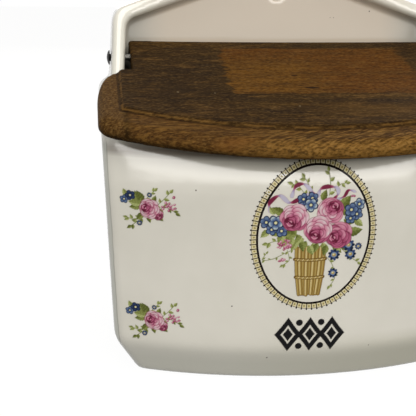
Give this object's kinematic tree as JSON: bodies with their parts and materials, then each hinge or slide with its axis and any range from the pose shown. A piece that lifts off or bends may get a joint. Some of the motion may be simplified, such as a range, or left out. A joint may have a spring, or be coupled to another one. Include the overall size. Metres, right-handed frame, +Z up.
{
  "type": "salt box with hinged lid",
  "caption": "Wall salt box: bow-fronted glazed ceramic box with arms and a gabled back plate, and a sloping wooden lid hinged on two screws.",
  "frame": {"origin": "on the flat underside, midway between the wall plane and the front of the bow, in the middle of the width", "axes": "+X to the right seen from the front, +Y towards the wall, +Z up"},
  "size_m": [0.1826, 0.1248, 0.1833],
  "materials": {
    "glazed_earthenware": "ivory clear-glazed slip-cast earthenware with transfer decoration",
    "stained_beech": "brown stained beech, worn at the edges",
    "blackened_steel": "blackened round-head wood screw"
  },
  "bodies": {
    "box": {"ceramic_body": "glazed_earthenware"},
    "lid": {"lid_board": "stained_beech", "hinge_screw_left": "blackened_steel", "hinge_screw_right": "blackened_steel"}
  },
  "joints": [
    {"name": "lid_hinge", "type": "hinge", "parent": "box", "child": "lid", "pos_m": [0, 0.027, 0.137], "axis": [-1, 0, 0], "range_deg": [0, 110]}
  ]
}
